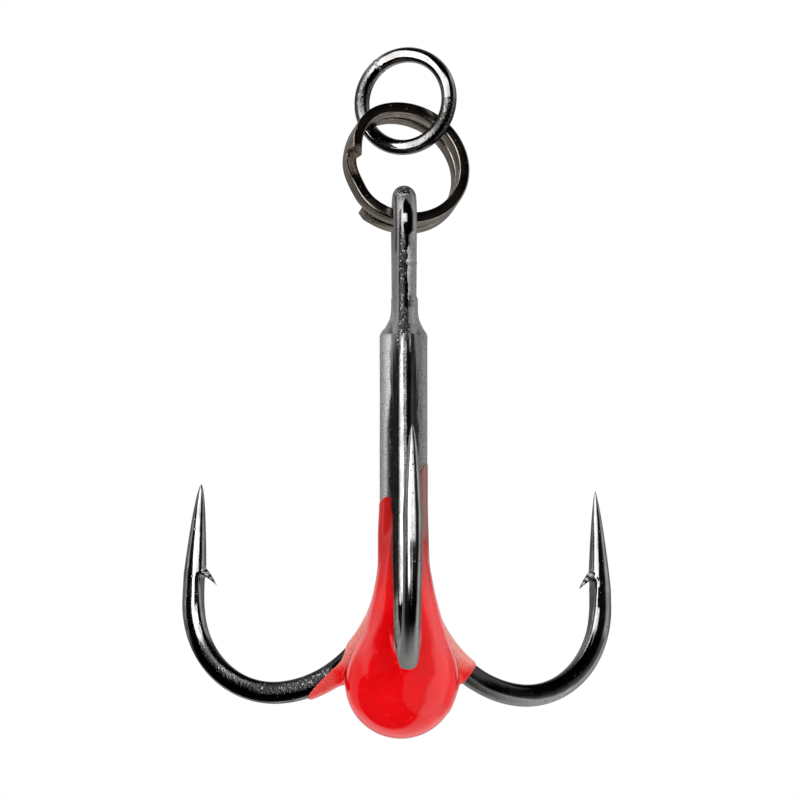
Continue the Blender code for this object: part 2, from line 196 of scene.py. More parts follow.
# Resin skins on the wires: two points (radius, height) of the hook's plane on the edge of each,
# how far out it reaches, and how far up.
LEFT_SKIN_EDGE = ((4.76 * MM, -29.42 * MM), (3.02 * MM, -28.07 * MM))
LEFT_SKIN_REACH = 2.75 * MM
LEFT_SKIN_TOP_Z = -20.50 * MM
RIGHT_SKIN_EDGE = ((2.90 * MM, -29.15 * MM), (3.61 * MM, -28.06 * MM))
RIGHT_SKIN_TOP_Z = -18.9 * MM
FRONT_SKIN_REACH = 3.05 * MM
FRONT_SKIN_TOP_Z = -26.0 * MM
LEFT_SKIN_THICKENS_Z = -20.7 * MM
RIGHT_SKIN_THICKENS_Z = -20.5 * MM
SKINS_MERGE_Z = -27.9 * MM
SKIN_ENDS_RADIUS = 3.0 * MM
WEB_TOP_Z = -24.6 * MM
WEB_BOTTOM_Z = -28.6 * MM
THIN_FROM_Z = -25.6 * MM
THIN_ON_RIGHT_FROM_Z = -26.3 * MM
SHADE_BESIDE_FRONT_FROM_Z = -26.5 * MM
RESIN_STEP = 0.085 * MM
RESIN_TOP_Z = -18.5 * MM

# Braze collar: height in mm, share of the way from the front wire out to a side wire.
COLLAR_STEPS = np.array((
    (-12.96, 1.00),
    (-12.82, 0.82),
    (-12.66, 0.60),
    (-12.50, 0.41),
    (-12.34, 0.26),
    (-12.20, 0.17),
    (-11.90, 0.07),
    (-11.40, 0.00),
))
COLLAR_TOP_Z = -11.2 * MM
COLLAR_SIDE_TOP_Z = -11.4 * MM
COLLAR_LEG_TOP_Z = -11.95 * MM
COLLAR_SINKS_Z = -12.95 * MM
COLLAR_BOTTOM_Z = -13.3 * MM
COLLAR_LEG_BACK = 0.40 * MM
COLLAR_LEG_RADIUS = 0.50 * MM
COLLAR_STEP = 0.05 * MM

# Run of braze up the right of the eye's wire, with a crack across it and a knob below the crack.
LUMP_AZIMUTH = FRONT_AZIMUTH + 40.0
LUMP_OUT = 0.30 * MM
LUMP_LEAN = 0.20
LUMP_RADIUS = 0.275 * MM
LUMP_EXTRA_BELOW = 0.045 * MM
LUMP_TOP_Z = -8.5 * MM
LUMP_CRACK_Z = -9.15 * MM
LUMP_CRACK_WIDTH = 0.04 * MM
LUMP_KNOB_Z = -9.85 * MM
LUMP_THINS_Z = -10.6 * MM
LUMP_BOTTOM_Z = -11.9 * MM

# Braze in the grooves between the shanks.
SEAM_TOP_Z = -12.95 * MM
SEAM_BOTTOM_Z = -23.3 * MM
SEAM_DARKENS_Z = -13.2 * MM
SEAM_HALF_WIDTH = 0.30 * MM
SEAM_RISE = 0.315
SEAM_HOLLOW = 0.137

# Where the looks of the hooks change, by height and by distance from the shank axis.
EYE_CAP_DEPTH = 0.72 * MM
EYE_CORE_DEPTH = 0.70 * MM
EYE_OVAL_DEPTH = 1.95 * MM
EYE_LUMP_DEPTH = 2.40 * MM
EYE_LOOKS_END_Z = -14.8 * MM
EYE_CORE_END_Z = -13.5 * MM
EYE_EDGES_START_Z = -12.6 * MM
EYE_EDGES_FADE_Z = -14.6 * MM
EYE_CRINKLE_Z = (-9.9 * MM, -11.6 * MM)
EYE_GAP_END_Z = -9.6 * MM
LOW_SHANK_Z = -13.0 * MM
SHANK_END_RADIUS = 1.6 * MM
SHANK_END_Z = -26.0 * MM
SIDE_DRIFT_Z = -13.6 * MM
SIDE_MATTE_END_Z = -23.5 * MM
BEND_LOOKS_RADIUS = 3.0 * MM
BEND_MATTE_Z = -27.6 * MM
CRINKLE_END_RADIUS = 8.0 * MM
# Side hooks: how far out the painted shade (black) of the shank reaches (-1 inner edge, 1 outer
# edge), how much further low down, where the shank's streak ends, and how far out the painted shade
# of the bend reaches.
SIDE_LOOKS = {
    "left_hook": (-0.45, 0.75, -26.2 * MM, 0.85),
    "right_hook": (-0.42, 0.25, -25.5 * MM, 0.45),
}

# ------------ camera and studio

# The way the camera looks: up by 10.5 degrees, and 2.1 degrees to the right of straight ahead.
CAMERA_LOOKS = Vector((0.0360, 0.9826, 0.1822)).normalized()
CAMERA_DISTANCE = 0.15
VIEW_WIDTH = 36.64 * MM
VIEW_RIGHT = -0.252 * MM
VIEW_UP = -15.46 * MM
# The lamps, the dark places and the hooks' left and right edges are counted from here, which is
# 4.2 degrees to the right of the camera.
STUDIO_AZIMUTH = -87.9
LAMPS_AIM_Z = -16 * MM
# Dark places of the studio: azimuth, elevation, half angle, softness, light left.
DARK_PLACES = (
    (-5.0, 16.0, 69.0, 4.0, 0.015),
    (-50.0, -50.0, 64.0, 4.0, 0.015),
    (10.0, -45.0, 40.0, 5.0, 0.015),
    (0.0, 80.0, 46.0, 5.0, 0.03),
    (180.0, 5.0, 26.0, 5.0, 0.55),
    (-118.0, 0.0, 30.0, 8.0, 0.40),
    (125.0, 0.0, 24.0, 8.0, 0.45),
)
FLOOR_RADIUS = 1.2
FLOOR_Z = -0.11


# ------------ small helpers

def direction(azimuth, elevation=0.0):
    """The way at an azimuth and an elevation, in degrees, as a vector of length 1."""
    around, up = math.radians(azimuth), math.radians(elevation)
    level = math.cos(up)
    return np.array((math.cos(around) * level, math.sin(around) * level, math.sin(up)))


def level_axes(azimuth):
    """The level direction at an azimuth, and the one a quarter turn on from it."""
    out = direction(azimuth)
    return out, np.array((-out[1], out[0], 0.0))


def smooth(value):
    value = np.clip(value, 0.0, 1.0)
    return value * value * (3.0 - 2.0 * value)


def above(value, start, fade):
    """0 up to the start and 1 from a fade above it, smooth between."""
    return smooth((value - start) / fade)


def below(value, start, fade):
    """0 down to the start and 1 from a fade below it, smooth between."""
    return smooth((start - value) / fade)


def bell(value, middle, width):
    return np.exp(-(((value - middle) / width) ** 2))


def unit(vectors):
    return vectors / np.maximum(np.linalg.norm(vectors, axis=-1, keepdims=True), 1e-12)


# ------------ meshes

def new_object(name, points, faces):
    mesh = bpy.data.meshes.new(name)
    mesh.from_pydata([tuple(p) for p in points], [], faces)
    mesh.validate()
    mesh.shade_smooth()
    obj = bpy.data.objects.new(name, mesh)
    bpy.context.scene.collection.objects.link(obj)
    return obj


def mesh_points(obj):
    points = np.empty(len(obj.data.vertices) * 3, np.float32)
    obj.data.vertices.foreach_get("co", points)
    return points.reshape(-1, 3).astype(float)


def add_floats(obj, **values):
    """Per-vertex values that the materials read."""
    for name, value in values.items():
        attribute = obj.data.attributes.new(name, "FLOAT", "POINT")
        attribute.data.foreach_set("value", np.asarray(value, np.float32).ravel())


def tube(name, rings, closed=False, **values):
    """A skin over rings of points, with a cap at each end unless it closes on itself."""
    rows, sides = rings.shape[:2]
    faces = []
    for row in range(rows if closed else rows - 1):
        here, after = row * sides, (row + 1) % rows * sides
        for side in range(sides):
            beside = (side + 1) % sides
            faces.append((here + side, here + beside, after + beside, after + side))
    if not closed:
        faces.append(tuple(range(sides))[::-1])
        faces.append(tuple((rows - 1) * sides + side for side in range(sides)))
    obj = new_object(name, rings.reshape(-1, 3), faces)
    add_floats(obj, **values)
    return obj


def surface(name, field, low, high, step):
    """The closed surface where a distance field is zero: one point in each cell that it crosses."""
    axes = [np.arange(a, b + step, step) for a, b in zip(low, high)]
    grid = np.stack(np.meshgrid(*axes, indexing="ij"), -1)
    values = field(grid)
    shape = np.array(values.shape)
    total = np.zeros((*shape - 1, 3))
    count = np.zeros(shape - 1)
    crossings = []
    for axis in range(3):
        first = [slice(None)] * 3
        second = [slice(None)] * 3
        first[axis], second[axis] = slice(None, -1), slice(1, None)
        a, b = values[tuple(first)], values[tuple(second)]
        index = np.argwhere((a < 0) != (b < 0))
        a, b = a[tuple(index.T)], b[tuple(index.T)]
        place = grid[tuple(index.T)].copy()
        place[:, axis] += step * a / (a - b)
        u, v = (axis + 1) % 3, (axis + 2) % 3
        inner = (index[:, u] > 0) & (index[:, v] > 0)
        inner &= (index[:, u] < shape[u] - 1) & (index[:, v] < shape[v] - 1)
        index, place, a = index[inner], place[inner], a[inner]
        corners = []
        for du, dv in ((-1, -1), (0, -1), (0, 0), (-1, 0)):
            cell = index.copy()
            cell[:, u] += du
            cell[:, v] += dv
            np.add.at(total, tuple(cell.T), place)
            np.add.at(count, tuple(cell.T), 1)
            corners.append(cell)
        crossings.append((corners, a < 0))
    used = count > 0
    number = np.full(used.shape, -1)
    number[used] = np.arange(used.sum())
    points = total[used] / count[used][:, None]
    faces = []
    for corners, forward in crossings:
        quads = np.stack([number[tuple(cell.T)] for cell in corners], 1)
        quads[~forward] = quads[~forward][:, ::-1]
        faces += quads.tolist()
    probe = 0.1 * step
    for _ in range(3):
        slope = np.stack(
            [
                (field(points + probe * e) - field(points - probe * e)) / (2 * probe)
                for e in np.eye(3)
            ],
            -1,
        )
        size = np.maximum((slope**2).sum(-1, keepdims=True), 0.2)
        points = points - np.clip(field(points)[:, None] / size, -step, step) * slope
    return new_object(name, points, faces)


def blend(a, b, width):
    """Smooth union of two distances."""
    share = np.clip(0.5 + 0.5 * (b - a) / width, 0.0, 1.0)
    return b + (a - b) * share - width * share * (1.0 - share)


def clip(a, b, width):
    """Smooth intersection of two distances."""
    return -blend(-a, -b, width)


def join(main, other):
    """One closed mesh from two that overlap."""
    modifier = main.modifiers.new("Union", "BOOLEAN")
    modifier.operation = "UNION"
    modifier.object = other
    graph = bpy.context.evaluated_depsgraph_get()
    mesh = bpy.data.meshes.new_from_object(main.evaluated_get(graph))
    main.modifiers.clear()
    main.data = mesh
    bpy.data.objects.remove(other)
    mesh.shade_smooth()
    mesh.set_sharp_from_angle(angle=math.radians(WIRE_SHARP_ANGLE))


# ------------ hooks

def arc(centre, radius, start, end):
    steps = max(2, round(abs(math.radians(end - start)) * radius / STATION_STEP))
    angle = np.radians(np.linspace(start, end, steps + 1))
    return centre + radius * np.stack([np.cos(angle), np.sin(angle)], 1)


def line(start, end):
    start, end = np.array(start), np.array(end)
    steps = max(2, round(np.linalg.norm(end - start) / STATION_STEP))
    return start + (end - start) * np.linspace(0, 1, steps + 1)[:, None]


def eye_top():
    """Centre line of the front wire from its end behind the eye to its straight shank."""
    loop = arc(np.array((0.0, EYE_Z)), EYE_LOOP_RADIUS, *EYE_TURNS)
    foot = np.array((BUNDLE_RADIUS, EYE_FOOT_Z))
    along = unit(foot - loop[-1])
    turn = math.acos(-along[1])
    bend = EYE_FOOT_FILLET * math.tan(0.5 * turn)
    start, end = foot - along * bend, foot + np.array((0.0, -bend))
    share = np.linspace(0, 1, 24)[:, None]
    curve = (1 - share) ** 2 * start + 2 * share * (1 - share) * foot + share**2 * end
    parts = [line(EYE_END, loop[0])[:-1], loop[:-1], line(loop[-1], start)[:-1], curve]
    return np.concatenate(parts)


def shoulder(z):
    """How full a side wire is near its upper end, and how far it leans to the front wire."""
    share = (SHOULDER_Z - z) / SHOULDER_LENGTH
    full = np.interp(share, SHOULDER_STEPS[:, 0], SHOULDER_STEPS[:, 1])
    return full, np.interp(share, SHOULDER_STEPS[:, 0], SHOULDER_STEPS[:, 2])


def hook_line(name):
    """Centre line of a hook in its plane, with how forged and how full it is at each place."""
    tip_z, lean, point_length, fullness = POINTS[name]
    if name == "eyed_hook":
        top = eye_top()
    else:
        depth = np.linspace(0.0, SHOULDER_LENGTH, 14)
        _, shift = shoulder(SHOULDER_Z - depth)
        top = np.stack([BUNDLE_RADIUS - shift, SHOULDER_Z - depth], 1)
    shank = line(top[-1], (BUNDLE_RADIUS, INNER_CENTRE[1]))[1:-1]
    inner = arc(INNER_CENTRE, INNER_BEND_RADIUS, 180, 270)
    outer = arc(OUTER_CENTRE, OUTER_BEND_RADIUS, 270, 360)[1:]
    height = tip_z - POINT_FOOT[1]
    share = 1.0 - np.linspace(1.0, 0.0, 90)[1:] ** 1.35
    point = np.stack([POINT_FOOT[0] - lean * share**LEAN_POWER, POINT_FOOT[1] + share * height], 1)
    place = np.concatenate([top, shank, inner, outer, point])
    forged = above(place[:, 0], FORGED_FROM, FORGED_RAMP)
    full = np.ones(len(place))
    forged[-len(point):] = 1.0 - share
    to_tip = (1.0 - share) * height / point_length
    full[-len(point):] = np.clip(to_tip, KEEN_TIP, 1.0) ** fullness
    if name != "eyed_hook":
        near_top = place[:, 0] < FORGED_FROM
        full[near_top] = shoulder(place[near_top, 1])[0]
    return place, forged, full


def to_world(azimuth, place, across):
    """Points of a hook's plane, moved across it, in the world."""
    out, side = level_axes(azimuth)
    base = np.array((TREBLE_X, TREBLE_Y, 0.0))
    return base + place[..., :1] * out + place[..., 1:] * UP + across[..., None] * side


def hook(name):
    azimuth = AZIMUTHS[name]
    place, forged, full = hook_line(name)
    along = unit(np.gradient(place, axis=0))
    normal = np.stack([along[:, 1], -along[:, 0]], 1)
    angle = 2 * math.pi * np.arange(WIRE_SIDES) / WIRE_SIDES
    c, s = np.cos(angle)[None, :], np.sin(angle)[None, :]
    power = (2.0 / (2.0 + forged * (FORGED_EXPONENT - 2.0)))[:, None]
    half_in = ((WIRE_RADIUS + forged * (FORGED_IN_PLANE - WIRE_RADIUS)) * full)[:, None]
    half_across = ((WIRE_RADIUS + forged * (FORGED_ACROSS - WIRE_RADIUS)) * full)[:, None]
    reach = np.sign(c) * np.abs(c) ** power * half_in
    across = np.sign(s) * np.abs(s) ** power * half_across
    reach -= reach * scoop(place) * np.clip(-c, 0.0, 1.0) ** 2 * SCOOP_DEPTH / half_in

    steps = np.linalg.norm(np.diff(place, axis=0), axis=1)
    length = np.concatenate([[0.0], np.cumsum(steps)])
    if name == "eyed_hook":
        facet = worn_facet(angle, length, place)
        reach, across = reach * facet, across * facet
    wave = np.sin(length / WOBBLE_LENGTH + azimuth)[:, None] * np.cos(2 * angle + 1.0)[None, :]
    reach, across = reach * (1.0 + WOBBLE * wave), across * (1.0 + WOBBLE * wave)
    rings = to_world(azimuth, place[:, None, :] + normal[:, None, :] * reach[..., None], across)

    out, side = level_axes(azimuth)
    faces = normal[:, None, :1] * out * c[..., None] + side * s[..., None]
    lateral = faces @ direction(STUDIO_AZIMUTH + 90.0)
    if name == "eyed_hook":
        mottle, matte, dark = eyed_finish(place, lateral, rings)
    else:
        mottle, matte, dark = side_finish(name, place, lateral, -c)
    wire = tube(
        name + "_wire",
        rings,
        mottle=mottle,
        matte=matte,
        dark=dark,
        run=np.repeat(length[:, None], WIRE_SIDES, 1),
        around=np.repeat(angle[None, :], len(place), 0) * WIRE_RADIUS,
    )
    join(wire, barb(name, azimuth))
    return wire


def scoop(place):
    """How deep the scoop behind the barb is at each place: steep at the barb, shallow below."""
    down = (BARB_ROOT_Z - place[:, 1:]) / SCOOP_LENGTH
    return np.where(place[:, :1] > BOTTOM_RADIUS, smooth(down / 0.08) * smooth(1.0 - down), 0.0)


def worn_facet(angle, length, place):
    """A narrow flat along the front of the eyed wire, its width wandering a little."""
    wander = np.sin(length / (0.31 * MM)) + 0.6 * np.sin(length / (0.13 * MM) + 1.0)
    down = below(place[:, 1], FACET_WIDENS_Z, 6.0 * MM)
    half = FACET_HALF_ANGLE + FACET_WIDENS_BY * down + FACET_WANDER * wander
    half = np.radians(half)[:, None]
    shank = below(place[:, 0], FORGED_FROM, 0.8 * MM) * below(place[:, 1], FACET_TOP_Z, MM)
    off = np.abs(angle[None, :] - math.radians(FACET_ANGLE))
    flat = np.cos(half) / np.cos(np.minimum(off, half))
    return 1.0 + (flat - 1.0) * shank[:, None]


def shank_share(r, z):
    """1 on the straight part of a hook."""
    return below(r, SHANK_END_RADIUS, 0.5 * MM) * above(z, SHANK_END_Z, MM)


def eyed_finish(place, lateral, rings):
    """Where the eyed hook is mottled, matt with a painted pale sheen, and black with painted shade.
    Lateral is -1 at its left edge, 1 at its right.

    Its eye has a blotched cap, and under that a core of painted shade with an oval left unpainted
    where a lamp's reflection shows. Low down its shank has edges of painted shade beside the side
    wires, and its bend, which points at the viewer, is matt in front with a painted pale sheen."""
    r, z = place[:, :1], place[:, 1:]
    x, height = rings[..., 0], rings[..., 2]
    shank = shank_share(r, z)
    on_eye = below(r, 2.4 * MM, 0.3 * MM) * above(height, EYE_LOOKS_END_Z, 1.2 * MM)
    cap = above(height, EYE_TOP_Z - EYE_CAP_DEPTH, 0.15 * MM)
    below_cap = (1.0 - cap) * on_eye
    low_down = below(z, LOW_SHANK_Z, 2.0 * MM)

    lump_starts = EYE_TOP_Z - EYE_LUMP_DEPTH
    tip = below(height, EYE_TOP_Z - EYE_CORE_DEPTH, 0.9 * MM)
    left_edge = 0.60 * tip
    right_edge = (0.70 - 0.36 * below(height, lump_starts, 0.25 * MM)) * tip
    middle = above(lateral, -left_edge, 0.12) * below(lateral, right_edge, 0.12)
    # The core is painted shade down the middle of the wire under the cap; the oval is left unpainted
    # where a lamp's reflection shows.
    core = middle * below_cap * above(height, EYE_CORE_END_Z, 0.8 * MM)
    oval = bell(lateral, -0.10, 0.26) * bell(height, EYE_TOP_Z - EYE_OVAL_DEPTH, 0.60 * MM)
    crinkle = np.maximum(0.25, bell(height, EYE_CRINKLE_Z[0], 0.55 * MM))
    crinkle = np.maximum(crinkle, below(height, EYE_CRINKLE_Z[1], 0.8 * MM))

    # Painted shade on the edges beside the side wires, low on the shank.
    beside = shank * above(np.abs(lateral), 0.35, 0.2)
    inner_edges = beside * below(z, EYE_EDGES_START_Z, 0.4 * MM)
    inner_edges = inner_edges * below(np.abs(lateral), 0.85, 0.1)

    mottle = np.maximum(core * crinkle * below(height, lump_starts, 0.3 * MM), cap)
    mottle = mottle + 0.08 * shank
    mottle = np.maximum(mottle, 0.9 * inner_edges * above(height, EYE_EDGES_FADE_Z, MM))

    across_cap = np.sin(x / (0.055 * MM) + 1.7 * np.sin(height / (0.09 * MM)))
    blotch = across_cap * np.sin(height / (0.05 * MM) + 1.3 * np.sin(x / (0.13 * MM)))
    # Painted shadow in a thin line down the left edge of the eye's wire.
    gap_shadow = bell(lateral, -0.82, 0.07) * above(height, EYE_GAP_END_Z, 0.4 * MM) * below_cap
    # Black: painted shade on the inner edges, beside the side wires low down, in the core outside the
    # oval and in the shadow line; dark blotches on the cap.
    dark = np.maximum(inner_edges, beside * low_down)
    dark = np.maximum(dark, core * np.clip(1.0 - 1.3 * oval, 0.0, 1.0))
    dark = np.maximum(dark, 0.95 * cap * smooth(0.5 + 1.6 * blotch))
    dark = np.maximum(dark, gap_shadow)

    # Matt with a painted pale sheen on the sides of the eye, the pale cap blotches and the front of
    # the bend.
    matte = 0.75 * on_eye * (1.0 - middle) * (1.0 - cap) * (1.0 - low_down)
    matte = matte * (1.0 - inner_edges)
    matte = np.maximum(matte, 0.7 * cap * smooth(0.5 - 1.6 * blotch))
    front = above(r, BEND_LOOKS_RADIUS, MM)
    matte = np.maximum(matte, front * (0.22 + 0.55 * below(z, BEND_MATTE_Z, MM)))
    return mottle, matte, dark


def side_finish(name, place, lateral, inward):
    """Where a side hook is mottled, matt with a painted pale sheen, and black with painted shade.
    Inward is 1 on the inside of its bend.

    Its shank has painted shade towards the front wire and is matt with a painted pale sheen outside.
    Its bend has painted shade, with a bright rim outside left unpainted; the left one has a crinkled
    patch, the right one matt bands with a painted pale sheen along both rims."""
    black_from, drift, streak_end, rim = SIDE_LOOKS[name]
    r, z = place[:, :1], place[:, 1:]
    shank = shank_share(r, z)
    outward = lateral if name == "right_hook" else -lateral
    start = drift * below(z, SIDE_DRIFT_Z, 4.0 * MM) + black_from
    mottle = 0.15 * shank + np.zeros_like(lateral)
    # Matt with a painted pale sheen outside the painted shade.
    matte = shank * above(outward, start - 0.35, 0.25) * above(z, SIDE_MATTE_END_Z, MM)
    # Painted shade (black) on the shank towards the front wire, and on the bend inside its bright
    # rim.
    dark = shank * (1.0 - above(outward, start, 0.30))
    bend = below(z, streak_end, 0.7 * MM)
    dark = np.maximum(dark, 0.92 * bend * above(inward, -rim, 0.2))
    if name == "left_hook":
        crinkled = bell(inward, 0.35, 0.45) * above(r, BEND_LOOKS_RADIUS, MM)
        strength = 0.30 + 0.60 * below(r, CRINKLE_END_RADIUS, MM)
        mottle = np.maximum(mottle, bend * crinkled * strength)
    else:
        # Right hook: matt bands with a painted pale sheen along both rims of the bend.
        outer_band = 0.70 * below(inward, -0.40, 0.15)
        inner_band = 0.45 * above(inward, 0.74, 0.10)
        matte = np.maximum(matte, bend * (outer_band + inner_band))
        dark = dark * (1.0 - bend * inner_band)
    return mottle, matte, dark


def barb(name, azimuth):
    """The sliver, from inside the wire to its tip: wide and thick at its root, keen at its end."""
    tip_z, lean, _, _ = POINTS[name]
    share = (BARB_ROOT_Z - POINT_FOOT[1]) / (tip_z - POINT_FOOT[1])
    surface_r = POINT_FOOT[0] - lean * share**LEAN_POWER - FORGED_IN_PLANE
    root = np.array((surface_r, BARB_ROOT_Z))
    tip = root + np.array((-BARB_REACH, -BARB_DROP))
    along = unit(tip - root)
    lift = np.array((along[1], -along[0]))
    base = root - along * BARB_SUNK
    steps = np.linspace(0.0, 1.0, 22)
    path = base + (tip - base) * steps[:, None]
    path = path + lift * (BARB_CURL * np.sin(math.pi * steps))[:, None]
    fade = np.clip(1.0 - steps, 0.012, 1.0)
    angle = 2 * math.pi * np.arange(BARB_SIDES) / BARB_SIDES
    c, s = np.cos(angle)[None, :], np.sin(angle)[None, :]
    thick = np.sign(c) * np.abs(c) ** 1.25 * (BARB_HALF_THICKNESS * fade)[:, None]
    wide = np.sign(s) * np.abs(s) ** 0.9 * (BARB_HALF_WIDTH * fade**0.75)[:, None]
    places = path[:, None, :] + lift[None, None, :] * thick[..., None]
    rings = to_world(azimuth, places, wide)
    zero = np.zeros(rings.shape[:2])
    # The sliver is painted nearly black, as painted shade.
    looks = {"mottle": zero, "matte": zero, "dark": zero + BARB_PAINTED_SHADE, "run": zero, "around": zero}
    return tube(name + "_barb", rings[:, ::-1], **looks)


# ------------ rings

def solid_ring():
    low, high = np.array(RING_LOW), np.array(RING_HIGH)
    centre = 0.5 * (low + high)
    major = 0.5 * (high[2] - low[2]) - SOLID_TUBE
    axis, right = level_axes(SOLID_AXIS_AZIMUTH)
    rows, sides = 240, 40
    turn = np.linspace(0, 2 * math.pi, rows, endpoint=False)[:, None]
    angle = np.linspace(0, 2 * math.pi, sides, endpoint=False)[None, :]
    degrees = np.degrees(turn)
    weld = bell(degrees, SOLID_WELD_ANGLE, 2.2)
    groove = bell(degrees, SOLID_WELD_ANGLE + 3.6, 1.1) + bell(degrees, SOLID_WELD_ANGLE - 3.4, 1.2)
    tube_radius = SOLID_TUBE * (1.0 + 0.035 * weld - 0.045 * groove + 0.006 * np.sin(5 * turn))
    tube_radius = tube_radius * (1.0 + 0.010 * np.cos(2 * angle + 3 * turn))
    out = right * np.cos(turn)[..., None] + UP * np.sin(turn)[..., None]
    reach = major + tube_radius * np.cos(angle)
    rings = centre + out * reach[..., None] + axis * (tube_radius * np.sin(angle))[..., None]
    # Mottled stretches darkened with painted shade and given a faint painted pale sheen; the weld is
    # a dark joint.
    shaded_mottle = sum(strength * bell(degrees, middle, width) for middle, width, strength in SOLID_SHADED_MOTTLE)
    ones = np.ones((rows, sides))
    rough = np.clip(0.35 * shaded_mottle + 0.8 * weld, 0, 1) * ones
    return tube(
        "solid_ring_wire",
        rings,
        closed=True,
        mottle=rough,
        matte=0.1 * rough,
        dark=np.clip(shaded_mottle + 0.4 * weld, 0, 1) * ones,
        run=turn * major * ones,
        around=angle * SOLID_TUBE * ones,
    )


def split_section():
    """Outline of the flattened wire: flat faces with rounded corners."""
    outline = []
    for quadrant in range(4):
        sign_out = (1, -1, -1, 1)[quadrant]
        sign_along = (1, 1, -1, -1)[quadrant]
        for step in range(7):
            angle = math.radians(90 * quadrant + 15 * step)
            out = sign_out * (SPLIT_HALF_RADIAL - SPLIT_CORNER) + SPLIT_CORNER * math.cos(angle)
            along = sign_along * (SPLIT_HALF_AXIAL - SPLIT_CORNER) + SPLIT_CORNER * math.sin(angle)
            outline.append((out, along))
    return np.array(outline)


def split_ring():
    axis = direction(SPLIT_AXIS_AZIMUTH, SPLIT_AXIS_ELEVATION)
    right = unit(np.array((1.0, 0.0, 0.0)) - axis * axis[0])
    up = np.cross(axis, right)
    middle = SPLIT_OUTER_RADIUS - SPLIT_HALF_RADIAL
    lift = SPLIT_HALF_AXIAL + 0.5 * SPLIT_LAYER_GAP
    outline = split_section()
    turned = np.linspace(0.0, SPLIT_SWEEP, 620)
    eased = above(turned, JOGGLE[0], JOGGLE[1] - JOGGLE[0])
    off = (SPLIT_START - turned - SPLIT_FLAT_AT + 180.0) % 360.0 - 180.0
    press = np.cos(np.radians(90.0 * np.minimum(1.0, np.abs(off) / SPLIT_FLAT_WIDTH))) ** 2
    radius = middle - SPLIT_FLAT * press

    start_near = np.exp(-turned / SPLIT_END_LENGTHS[0])
    end_near = np.exp(-(SPLIT_SWEEP - turned) / SPLIT_END_LENGTHS[1])
    twist = np.radians(SPLIT_TWIST) * smooth(1.0 - turned / SPLIT_TWIST_LENGTH)
    c, s = np.cos(twist)[:, None], np.sin(twist)[:, None]
    thinned = above(turned, SPLIT_SWEEP - SPLIT_TAPER_LENGTH, SPLIT_TAPER_LENGTH)
    taper = 1.0 - SPLIT_TAPER * thinned[:, None]
    out_shift = outline[None, :, 0] * taper + SPLIT_HALF_RADIAL * (1.0 - taper)
    reach = out_shift * c - outline[None, :, 1] * s
    rise = outline[None, :, 1] * c + out_shift * s
    slant = outline[None, :, 0] / SPLIT_HALF_RADIAL
    shear = np.radians(SPLIT_SHEARS[0]) * slant * start_near[:, None]
    shear = shear - np.radians(SPLIT_SHEARS[1]) * slant * end_near[:, None]
    angle = np.radians(SPLIT_START - turned)[:, None] - shear
    out = right * np.cos(angle)[..., None] + up * np.sin(angle)[..., None]
    height = (lift * (1.0 - 2.0 * eased))[:, None] + rise
    rings = SPLIT_CENTRE + out * (radius[:, None] + reach)[..., None] + axis * height[..., None]

    sides = np.linalg.norm(np.diff(outline, axis=0), axis=1)
    around = np.concatenate([[0.0], np.cumsum(sides)])
    ones = np.ones(rings.shape[:2])
    ends = np.clip(start_near + end_near, 0, 1)[:, None]
    joggle = bell(turned, 0.5 * sum(JOGGLE), 22.0)[:, None]
    obj = tube(
        "split_ring_wire",
        rings,
        mottle=np.clip(0.01 + 0.4 * ends + 0.10 * joggle, 0, 1) * ones,
        # A little matt, with a faint painted pale sheen.
        matte=0.12 * ones,
        run=np.radians(turned)[:, None] * middle * ones,
        around=around[None, :] * ones,
    )
    obj.data.set_sharp_from_angle(angle=math.radians(SPLIT_SHARP_ANGLE))
    return obj


# ------------ distance fields of the treble

def hook_frame(points, azimuth):
    """Radius from the shank axis, height and distance across, in one hook's plane."""
    out = direction(azimuth)
    x, y = points[..., 0] - TREBLE_X, points[..., 1] - TREBLE_Y
    return x * out[0] + y * out[1], points[..., 2], -x * out[1] + y * out[0]


def wire_distance(points, azimuth):
    """Distance from the centre line of a shank and its bend."""
    r, z, across = hook_frame(points, azimuth)
    straight = np.abs(r - BUNDLE_RADIUS)
    bend = np.abs(np.hypot(r - INNER_CENTRE[0], z - INNER_CENTRE[1]) - INNER_BEND_RADIUS)
    beyond = np.hypot(r - BOTTOM_RADIUS, z - BEND_BOTTOM_Z)
    in_plane = np.where(z > INNER_CENTRE[1], straight, np.where(r < BOTTOM_RADIUS, bend, beyond))
    return np.hypot(in_plane, across)


def half_plane(r, z, first, second):
    """Distance from a line in a hook's plane, negative on its left as one walks along it."""
    run = np.array(second) - np.array(first)
    run = run / np.linalg.norm(run)
    return (r - first[0]) * run[1] - (z - first[1]) * run[0]


def tear_size(z, column):
    """One column of the tear's profile at these heights, its corners rounded off."""
    heights = np.linspace(TEAR_PROFILE[-1, 0] - MM, TEAR_PROFILE[0, 0] + MM, 240)
    kernel = bell(np.linspace(-2.0, 2.0, 23), 0.0, 1.0)
    raw = np.interp(heights, TEAR_PROFILE[::-1, 0], TEAR_PROFILE[::-1, column])
    padded = np.pad(raw, len(kernel) // 2, mode="edge")
    return np.interp(z, heights, np.convolve(padded, kernel / kernel.sum(), mode="valid"))


def tear(points):
    """Distance from the tear-shaped part of the drop."""
    z = points[..., 2]
    wide, deep, rear = (tear_size(z, column) for column in (1, 2, 3))
    x = (points[..., 0] - TEAR_X) / wide
    y = (points[..., 1] - TREBLE_Y - rear) / deep
    side = (np.hypot(x, y) - 1.0) * np.minimum(wide, deep)
    ends = np.maximum(z - TEAR_PROFILE[0, 0], TEAR_PROFILE[-1, 0] - z)
    return clip(side, ends, 0.3 * MM)


